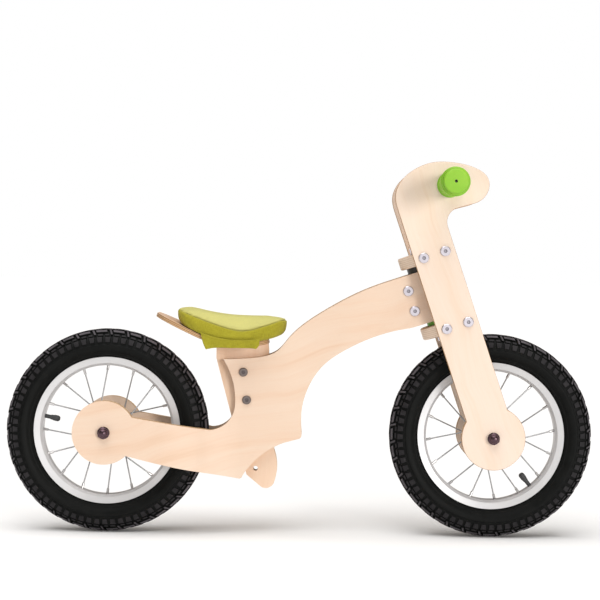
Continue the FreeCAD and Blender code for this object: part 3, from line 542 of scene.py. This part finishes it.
def make_tyre(name, centre, body, start, rubber):
    """Carcass with a trail tread: crown bars, slanted joints and shoulder lugs, each with its amount of lighter
    top, partly wear and partly painted highlight.
    """
    points, faces = [], []
    # How much each block's top is painted lighter, partly wear and partly painted highlight.
    worn_and_lit = {1.0: [], 0.8: [], 0.2: []}
    inside = [(TYRE_RADIUS - depth, side) for depth, side in CARCASS_INSIDE]
    half = [tuple(p) for p in LINE] + inside
    section = half + [(r, -y) for r, y in reversed(half[1:-1])]
    segments = 216
    for k in range(segments):
        turn = 2 * math.pi * k / segments
        points += [Vector((r * math.sin(turn), y, r * math.cos(turn))) for r, y in section]
    count = len(section)
    for k in range(segments):
        n = (k + 1) % segments
        for i in range(count):
            j = (i + 1) % count
            faces.append((k * count + i, k * count + j, n * count + j, n * count + i))

    pitch = 2 * math.pi * TREAD_RADIUS / TREAD_REPEATS
    for k in range(TREAD_REPEATS):
        for side in (-1, 1):
            shift = k * pitch + (0.5 * pitch if side > 0 else 0.0)

            def block(corners, height, cells, wear_and_highlight):
                spots = [(shift + u / 1000, side * v / 1000) for u, v in corners]
                add_block(points, faces, worn_and_lit[wear_and_highlight], spots, height, cells)

            block([(-9.8, 1.4), (8.8, 1.4), (9.8, 5.2), (-8.8, 5.2)], TREAD_HEIGHT, (6, 2), 1.0)
            block([(0.6, 8.2), (17.4, 8.2), (19.0, 13.2), (2.2, 13.2)], TREAD_HEIGHT, (6, 2), 1.0)
            block([(20.6, 6.6), (23.9, 6.6), (27.6, 18.2), (24.3, 18.2)], TREAD_HEIGHT, (2, 5), 0.8)
            block([(3.4, 15.8), (12.0, 15.8), (12.4, 19.4), (4.4, 19.4)], LUG_HEIGHT, (3, 2), 0.2)
            block([(15.0, 15.8), (21.4, 15.8), (22.4, 19.4), (15.4, 19.4)], LUG_HEIGHT, (3, 2), 0.2)
            block([(2.2, 21.2), (11.6, 21.2), (10.8, 29.6), (3.4, 29.6)], LUG_HEIGHT, (3, 3), 0.2)
            block([(15.3, 21.2), (24.7, 21.2), (23.9, 29.6), (16.5, 29.6)], LUG_HEIGHT, (3, 3), 0.2)
    spin = Quaternion((0, 1, 0), start)
    tyre = make_object(name, [centre + spin @ p for p in points], faces)
    smooth(tyre, 32)
    marks = tyre.data.attributes.new("wear_and_highlight", "FLOAT", "POINT")
    for amount, tops in worn_and_lit.items():
        for k in tops:
            marks.data[k].value = amount
    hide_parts(name.replace("_tread_tyre", "_tyre"))
    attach(tyre, body)
    tyre.data.materials.append(rubber)


# ---------- saddle cushion ----------

BOARD_LOW, BOARD_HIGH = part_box("saddle_board")
DISH = Vector((BOARD_HIGH.x - 0.0392, 0.0, BOARD_LOW.z))    # lowest point of the board's underside
DISH_RADIUS = 0.170
BOARD_T = 0.006
TAIL_ANGLE = math.radians(24.6)


def board_top(x):
    """Height of the board's upper face over the dish's lowest point; x from that point."""
    radius = DISH_RADIUS - BOARD_T
    bend = -radius * math.sin(TAIL_ANGLE)
    inside = DISH_RADIUS - math.sqrt(radius ** 2 - max(x, bend) ** 2)
    return inside + max(0.0, bend - x) * math.tan(TAIL_ANGLE)


def top_seam(x):
    """Height of the seam between the top panel and the side panel."""
    return min(0.0242 + 0.38 * (math.hypot(x, 0.018) - 0.018), 0.0398 if x > 0 else 1.0)


def crown_height(x):
    """Height of the cushion's top along its middle."""
    return 0.0425 + (2.10 if x < 0 else 1.55) * x * x


def flap_seam(x):
    """Height of the seam between the side panel and the hanging flap."""
    return 0.0086 + 3.3 * (x + 0.002) ** 2


# Half plan of the cushion, nose to rear: distance ahead of the dish's lowest point, half width.
CUSHION_PLAN = [(0.0675, 0.0), (0.0645, 0.0180), (0.0550, 0.0340), (0.0370, 0.0470), (0.0020, 0.0545),
                (-0.0380, 0.0594), (-0.0730, 0.0580), (-0.0915, 0.0460), (-0.0985, 0.0255), (-0.1005, 0.0)]


def cushion_outline():
    half = [np.array(p) for p in CUSHION_PLAN]
    loop = half + [p * (1, -1) for p in reversed(half[1:-1])]
    return through(loop, 8, closed=True)


def cushion_blank():
    """The cushion before it is filled: top panel, side panel and flat base on the board."""
    outline = cushion_outline()
    centre = np.array((-0.015, 0.0))
    swell = 0.0030
    points, faces = [], []
    rings = []

    def ring(scale, height):
        first = len(points)
        for spot in outline:
            away = spot - centre
            inward = away / np.linalg.norm(away) * swell
            x, y = centre + (away - inward) * scale
            points.append(DISH + Vector((x, y, height(x, y))))
        rings.append(first)

    def dome(scale):
        rise = (1 - scale ** 2.6) ** 0.72
        return lambda x, y: top_seam(x) + (crown_height(x) - 0.0025 - top_seam(x)) * rise

    gap = 0.0004
    for scale in (0.25, 0.5, 0.7, 0.82, 0.90):
        ring(scale, lambda x, y: board_top(x) + gap)
    ring(0.945, lambda x, y: board_top(x) + gap + 0.001)
    for share, scale in ((0.25, 0.985), (0.6, 1.0), (1.0, 1.0)):
        ring(scale, lambda x, y, share=share: board_top(x) * (1 - share) + top_seam(x) * share)
    for scale in (0.97, 0.90, 0.78, 0.6, 0.4, 0.2):
        ring(scale, dome(scale))
    count = len(outline)
    for a, b in zip(rings[:-1], rings[1:]):
        for k in range(count):
            n = (k + 1) % count
            faces.append((a + k, a + n, b + n, b + k))
    ends = ((rings[0], board_top(centre[0]) + gap), (rings[-1], crown_height(centre[0]) - 0.0025))
    for first, height in ends:
        points.append(DISH + Vector((centre[0], 0.0, height)))
        faces += [(first + k, first + (k + 1) % count, len(points) - 1) for k in range(count)]
    return make_object("saddle_cushion_cover", points, faces)


VOXEL = 0.0045
CLOTH_FRAMES = 20
FILL_LIMIT = 0.0055             # how far a point of the cover may swell


def fill_cushion(cushion):
    """Inflate the blank with a cloth simulation; the base stays on the board."""
    remesh = cushion.modifiers.new("remesh", "REMESH")
    remesh.mode = "VOXEL"
    remesh.voxel_size = VOXEL
    apply_modifiers(cushion)
    rest = [v.co.copy() for v in cushion.data.vertices]
    base = cushion.vertex_groups.new(name="base")
    held = [k for k, co in enumerate(rest) if co.z - DISH.z < board_top(co.x - DISH.x) + 0.0022]
    base.add(held, 1.0, "REPLACE")
    cloth = cushion.modifiers.new("cloth", "CLOTH")
    cloth.settings.use_pressure = True
    cloth.settings.uniform_pressure_force = 4.0
    cloth.settings.vertex_group_mass = "base"
    cloth.settings.effector_weights.gravity = 0.0
    cloth.settings.mass = 0.3
    cloth.settings.tension_stiffness = 18.0
    cloth.settings.compression_stiffness = 18.0
    cloth.settings.bending_stiffness = 0.6
    cloth.point_cache.frame_start = 1
    cloth.point_cache.frame_end = CLOTH_FRAMES
    for frame_number in range(1, CLOTH_FRAMES + 1):
        bpy.context.scene.frame_set(frame_number)
    apply_modifiers(cushion)
    bpy.context.scene.frame_set(1)
    for vertex, start in zip(cushion.data.vertices, rest):
        move = vertex.co - start
        if move.length > FILL_LIMIT:
            vertex.co = start + move * (FILL_LIMIT / move.length)


def seam_distance(point):
    """How far a point of the cover is from the top seam, up positive."""
    x = point.x - DISH.x
    slope = (top_seam(x + 0.001) - top_seam(x - 0.001)) / 0.002
    return (point.z - DISH.z - top_seam(x)) / math.hypot(1.0, slope)


def sew_cushion(cushion):
    """Draw the cover in along its top seam, with small puckers, and mark for the fabric the seam crease, which
    gets painted shade, and the top panel, which gets a painted highlight.
    """
    divide = cushion.modifiers.new("divide", "SUBSURF")
    divide.levels = 2
    apply_modifiers(cushion)
    mesh = cushion.data
    normals = [v.normal.copy() for v in mesh.vertices]
    marks = mesh.attributes.new("seam_shade", "FLOAT", "POINT")
    top_highlight = mesh.attributes.new("top_highlight", "FLOAT", "POINT")
    for k, vertex in enumerate(mesh.vertices):
        near = seam_distance(vertex.co)
        normal = normals[k]
        on_side = min(1.0, max(0.0, (0.93 - abs(normal.z)) / 0.2)) if normal.z < 0.93 else 0.0
        along = math.atan2(vertex.co.y, vertex.co.x - DISH.x) * 60.0
        crease = math.exp(-(near / 0.0011) ** 2) * on_side
        bulge = math.exp(-((abs(near) - 0.0035) / 0.0022) ** 2) * on_side
        uneven = 0.6 + 0.4 * math.sin(along * 0.61 + 2.0)
        pucker = math.sin(along * 2.3 + 1.3 * math.sin(along * 0.37)) * uneven
        vertex.co += normal * (-0.0017 * crease + 0.00035 * bulge + 0.00022 * pucker * bulge)
        # Painted shade mask along the seam crease.
        marks.data[k].value = math.exp(-(near / 0.0007) ** 2) * on_side
        # Painted highlight mask: near 1 on the top panel above the seam, where the top light falls.
        top_highlight.data[k].value = 1.0 / (1.0 + math.exp(-near / 0.0006))
    mesh.shade_smooth()


def make_cushion(cloth):
    cushion = cushion_blank()
    fill_cushion(cushion)
    sew_cushion(cushion)
    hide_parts("saddle_cushion")
    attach(cushion, "seat")
    cushion.data.materials.clear()
    cushion.data.materials.append(cloth)


FLAP_FRONT = 0.0262
FLAP_REAR = -0.0600


def make_flap(name, side, cloth):
    """One hanging strip of the cover: hemmed, with rounded lower corners and a slight wave."""
    thickness = 0.0012
    columns, rows = 64, 20
    length = FLAP_FRONT - FLAP_REAR

    def middle_surface(s, t):
        x = FLAP_REAR + length * s
        rear_sag = 0.0034 * max(0.0, 1 - s / 0.30) ** 1.6 - 0.0022 * max(0.0, 1 - s / 0.05) ** 2
        front_sag = 0.0012 * max(0.0, (s - 0.80) / 0.20) ** 2 - 0.0018 * max(0.0, (s - 0.95) / 0.05) ** 2
        lower = -0.0012 - rear_sag - front_sag
        upper = flap_seam(x) + 0.0012
        z = upper + (lower - upper) * t
        pull = 0.0052 * t * max(0.0, 1 - s / 0.25) ** 1.2
        corner = 0.0040 * max(0.0, (s - 0.90) / 0.10) * t ** 5 + 0.0034 * max(0.0, (0.06 - s) / 0.06) * t ** 5
        wave = 0.0011 * math.sin(s * 13.0 + 0.8) * t + 0.0007 * math.sin(s * 29.0) * t * t
        flare = (0.0016 * max(0.0, 1 - abs(s - 0.04) / 0.16) * t ** 2
                 + 0.0018 * max(0.0, 1 - abs(s - 0.95) / 0.12) * t)
        out = 0.0572 - 0.0024 * t ** 0.6 + wave + flare
        front = -corner if s > 0.5 else corner
        return Vector((DISH.x + x + pull + front, side * out, DISH.z + z))

    points, faces = [], []
    for layer in (1, -1):
        for i in range(columns + 1):
            for j in range(rows + 1):
                s, t = i / columns, j / rows
                here = middle_surface(s, t)
                du = middle_surface(min(1, s + 0.01), t) - middle_surface(max(0, s - 0.01), t)
                dv = middle_surface(s, min(1, t + 0.01)) - middle_surface(s, max(0, t - 0.01))
                normal = du.cross(dv).normalized() * side
                edge = min(s * length, (1 - s) * length, (1 - t) * 0.014)
                hem = 0.00025 * math.exp(-((edge - 0.0022) / 0.0006) ** 2)
                half = thickness / 2 * min(1.0, 0.35 + edge / 0.0008) - hem
                points.append(here + normal * layer * half)
    size = (columns + 1) * (rows + 1)

    def at(layer, i, j):
        return layer * size + i * (rows + 1) + j

    for layer in (0, 1):
        for i in range(columns):
            for j in range(rows):
                faces.append((at(layer, i, j), at(layer, i + 1, j),
                              at(layer, i + 1, j + 1), at(layer, i, j + 1)))
    rim = ([(i, 0) for i in range(columns)] + [(columns, j) for j in range(rows)]
           + [(i, rows) for i in range(columns, 0, -1)] + [(0, j) for j in range(rows, 0, -1)])
    for k in range(len(rim)):
        a, b = rim[k], rim[(k + 1) % len(rim)]
        faces.append((at(0, *a), at(0, *b), at(1, *b), at(1, *a)))
    flap = make_object(name, points, faces)
    smooth(flap, 50)
    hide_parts("cover_flaps")
    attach(flap, "seat")
    flap.data.materials.append(cloth)


def fabric():
    """Coarse plain weave in lime: threads in two tones, a soft fuzz, painted shade in the seam crease and a
    painted highlight that pales the top panel.
    """
    kit = Nodes("cover_fabric")
    position = kit.coords()
    x, y, z = kit.split(position)
    normal = kit.coords("Normal")
    flatness = kit.math("ABSOLUTE", kit.split(normal)[2])
    endness = kit.math("ABSOLUTE", kit.split(normal)[0])
    pitch = 0.00105
    turns = 2 * math.pi / pitch
    drift = kit.math("MULTIPLY", kit.noise(position, 60.0, 2.0, 0.5), 0.0009)
    across_top = kit.math("ADD", y, drift)
    across_side = kit.math("ADD", z, drift)
    on_top = kit.fit(flatness, 0.55, 0.70)
    on_end = kit.fit(endness, 0.72, 0.80)
    across = kit.math("ADD", kit.math("MULTIPLY", across_top, on_top),
                      kit.math("MULTIPLY", across_side, kit.math("SUBTRACT", 1.0, on_top)))
    along_side = kit.math("ADD", x, drift)
    along = kit.math("ADD", kit.math("MULTIPLY", kit.math("ADD", y, drift), on_end),
                     kit.math("MULTIPLY", along_side, kit.math("SUBTRACT", 1.0, on_end)))
    warp = kit.math("SINE", kit.math("MULTIPLY", along, turns))
    weft = kit.math("SINE", kit.math("MULTIPLY", across, turns))
    over = kit.math("MULTIPLY", warp, weft)
    ridges = kit.math("MAXIMUM", kit.math("ABSOLUTE", warp), kit.math("ABSOLUTE", weft))
    slub = kit.noise(kit.join(kit.math("MULTIPLY", along, 160.0), kit.math("MULTIPLY", across, 1500.0), 0.0),
                     1.0, 2.0, 0.6)
    slub_down = kit.noise(kit.join(kit.math("MULTIPLY", along, 1500.0), kit.math("MULTIPLY", across, 160.0),
                                   3.0), 1.0, 2.0, 0.6)
    thread = kit.math("ADD", kit.math("MULTIPLY", slub, 0.5), kit.math("MULTIPLY", slub_down, 0.5))
    mottle = kit.noise(position, 85.0, 4.0, 0.6)
    colour = kit.mix(kit.fit(thread, 0.36, 0.64), (0.270, 0.235, 0.010), (0.420, 0.385, 0.030))
    colour = kit.mix(kit.fit(over, -0.8, 0.8, 0.0, 0.35), colour, (0.230, 0.198, 0.008))
    colour = kit.mix(kit.fit(mottle, 0.35, 0.65, 0.0, 0.35), colour, (0.400, 0.355, 0.022))
    seam_shade = kit.add("ShaderNodeAttribute", attribute_name="seam_shade").outputs["Fac"]
    top_highlight = kit.add("ShaderNodeAttribute", attribute_name="top_highlight").outputs["Fac"]
    # Painted highlight: the top panel is paled towards cream, standing in for the top light on it.
    colour = kit.mix(kit.math("MULTIPLY", top_highlight, 0.42), colour, (0.860, 0.840, 0.400))
    # Painted shade darkens the seam crease.
    colour = kit.mix(kit.math("MULTIPLY", seam_shade, 0.75), colour, (0.110, 0.095, 0.010))
    height = kit.math("ADD", kit.math("MULTIPLY", over, 0.5),
                      kit.math("ADD", kit.math("MULTIPLY", ridges, 0.4), kit.math("MULTIPLY", thread, 0.8)))
    kit.set(Base_Color=colour, Roughness=0.88, Normal=kit.bump(height, 0.00028, 0.75),
            Sheen_Weight=0.16, Sheen_Roughness=0.5, Sheen_Tint=(1.0, 0.98, 0.45), Specular_IOR_Level=0.25)
    return kit.material


# ---------- finishes for the carried-over nodes ----------

def paint_frame():
    fork_angle = math.pi / 2 + RAKE
    paint(plywood("fork_ply", (0.800, 0.655, 0.545), (0.770, 0.585, 0.445), fork_angle, thickness_y, 0.00133,
                  seed=0.11, streak=0.50, edge_pale=(0.68, 0.42, 0.18), edge_dark=(0.42, 0.22, 0.08)),
          "fork_side_left", "fork_side_right")
    paint(plywood("frame_ply", (0.735, 0.575, 0.450), (0.710, 0.500, 0.360), math.radians(14.0), bend_depth,
                  0.00133, seed=0.53, streak=0.65, edge_pale=(0.70, 0.46, 0.24), edge_dark=(0.46, 0.27, 0.12)),
          "frame_side_left", "frame_side_right")
    paint(plywood("post_ply", (0.760, 0.560, 0.415), (0.700, 0.460, 0.300), math.radians(80.0), thickness_y,
                  0.00139, seed=0.77, streak=0.7), "seat_post")
    paint(plywood("head_ply", (0.760, 0.570, 0.420), (0.700, 0.470, 0.310), fork_angle, thickness_y,
                  0.00139, seed=0.31, streak=0.7), "head_block")
    # The crown plates' edges get paler plies than the other plywood: painted light, lifting the plate tails out
    # of the shade the fork casts on them.
    paint(plywood("crown_ply", (0.790, 0.610, 0.470), (0.730, 0.510, 0.350), 0.0, thickness_steering,
                  0.00139, flat_axis=tuple(STEER_AXIS), seed=0.19, streak=0.7, edge_pale=(0.90, 0.74, 0.60),
                  edge_dark=(0.78, 0.60, 0.46)),
          "crown_plate_lower", "crown_plate_upper")
    paint(plywood("board_ply", (0.740, 0.540, 0.400), (0.670, 0.430, 0.280), 0.0, board_depth,
                  0.00120, flat_axis=(0.0, 0.0, 1.0), seed=0.91, streak=0.8, edge_pale=(0.60, 0.38, 0.20),
                  edge_dark=(0.36, 0.19, 0.08)), "saddle_board")


def paint_hardware():
    # Zinc and clamp steel carry painted shade in their sockets and round their heads; the keyword sets how
    # strong.
    zinc = metal("zinc_steel", (0.70, 0.67, 0.74), 0.34, socket_shade=0.85)
    paint(zinc, "head_bolts", "head_sleeve_nuts", "crown_bolts", "steering_bolt", "steering_washers",
          "steering_nut", "saddle_bolts", "saddle_barrel_nuts",
          "rear_bearing_inner_rings", "front_bearing_inner_rings", "rear_bearing_outer_rings",
          "front_bearing_outer_rings", "rear_axle_spacers", "front_axle_spacers")
    dark = metal("dark_steel", (0.105, 0.066, 0.080), 0.30)
    paint(dark, "rear_axle_nuts", "front_axle_nuts", "rear_axle_washers", "front_axle_washers", "rear_axle",
          "front_axle")
    paint(metal("clamp_steel", (0.22, 0.19, 0.18), 0.38, socket_shade=0.7), "seat_clamp_bolts", "seat_clamp_nuts")
    paint(rim_metal(), "rear_rim", "front_rim")
    paint(metal("hub_alloy", (0.66, 0.66, 0.68), 0.28), "rear_hub_shell", "front_hub_shell")
    spoke = metal("spoke_steel", (0.44, 0.44, 0.45), 0.50)
    paint(spoke, "rear_spokes", "front_spokes")
    paint(metal("nipple_brass", (0.58, 0.57, 0.57), 0.30), "rear_spoke_nipples", "front_spoke_nipples")
    paint(metal("handlebar_steel", (0.66, 0.66, 0.68), 0.22), "handlebar")
    paint(plastic("bush_black", (0.012, 0.012, 0.012), 0.45), "upper_steering_bush")
    paint(plastic("bush_green", (0.13, 0.42, 0.03), 0.45), "lower_steering_bush")
    paint(plastic("valve_grey", (0.035, 0.036, 0.038), 0.55), "rear_valve_cap", "front_valve_cap",
          "rear_valve_stem", "front_valve_stem")
    paint(plastic("butyl", (0.012, 0.012, 0.012), 0.6), "rear_inner_tube", "front_inner_tube")
    paint(plastic("tape_black", (0.02, 0.02, 0.02), 0.6), "rear_rim_tape", "front_rim_tape")
    paint(grip_rubber(), "grip_left", "grip_right")
    rubber = tyre_rubber()
    paint(rubber, "rear_tyre", "front_tyre")
    return rubber
    paint(plastic("cushion_plain", (0.40, 0.38, 0.04), 0.8), "saddle_cushion", "cover_flaps")


make_camera()
make_stage()
make_lights()
paint_frame()
rubber = paint_hardware()
make_tyre("rear_tread_tyre", REAR_AXLE, "rear_wheel", 0.04, rubber)
make_tyre("front_tread_tyre", FRONT_AXLE, "front_wheel", 0.11, rubber)
cloth = fabric()
make_cushion(cloth)
make_flap("cover_flap_left", 1, cloth)
make_flap("cover_flap_right", -1, cloth)
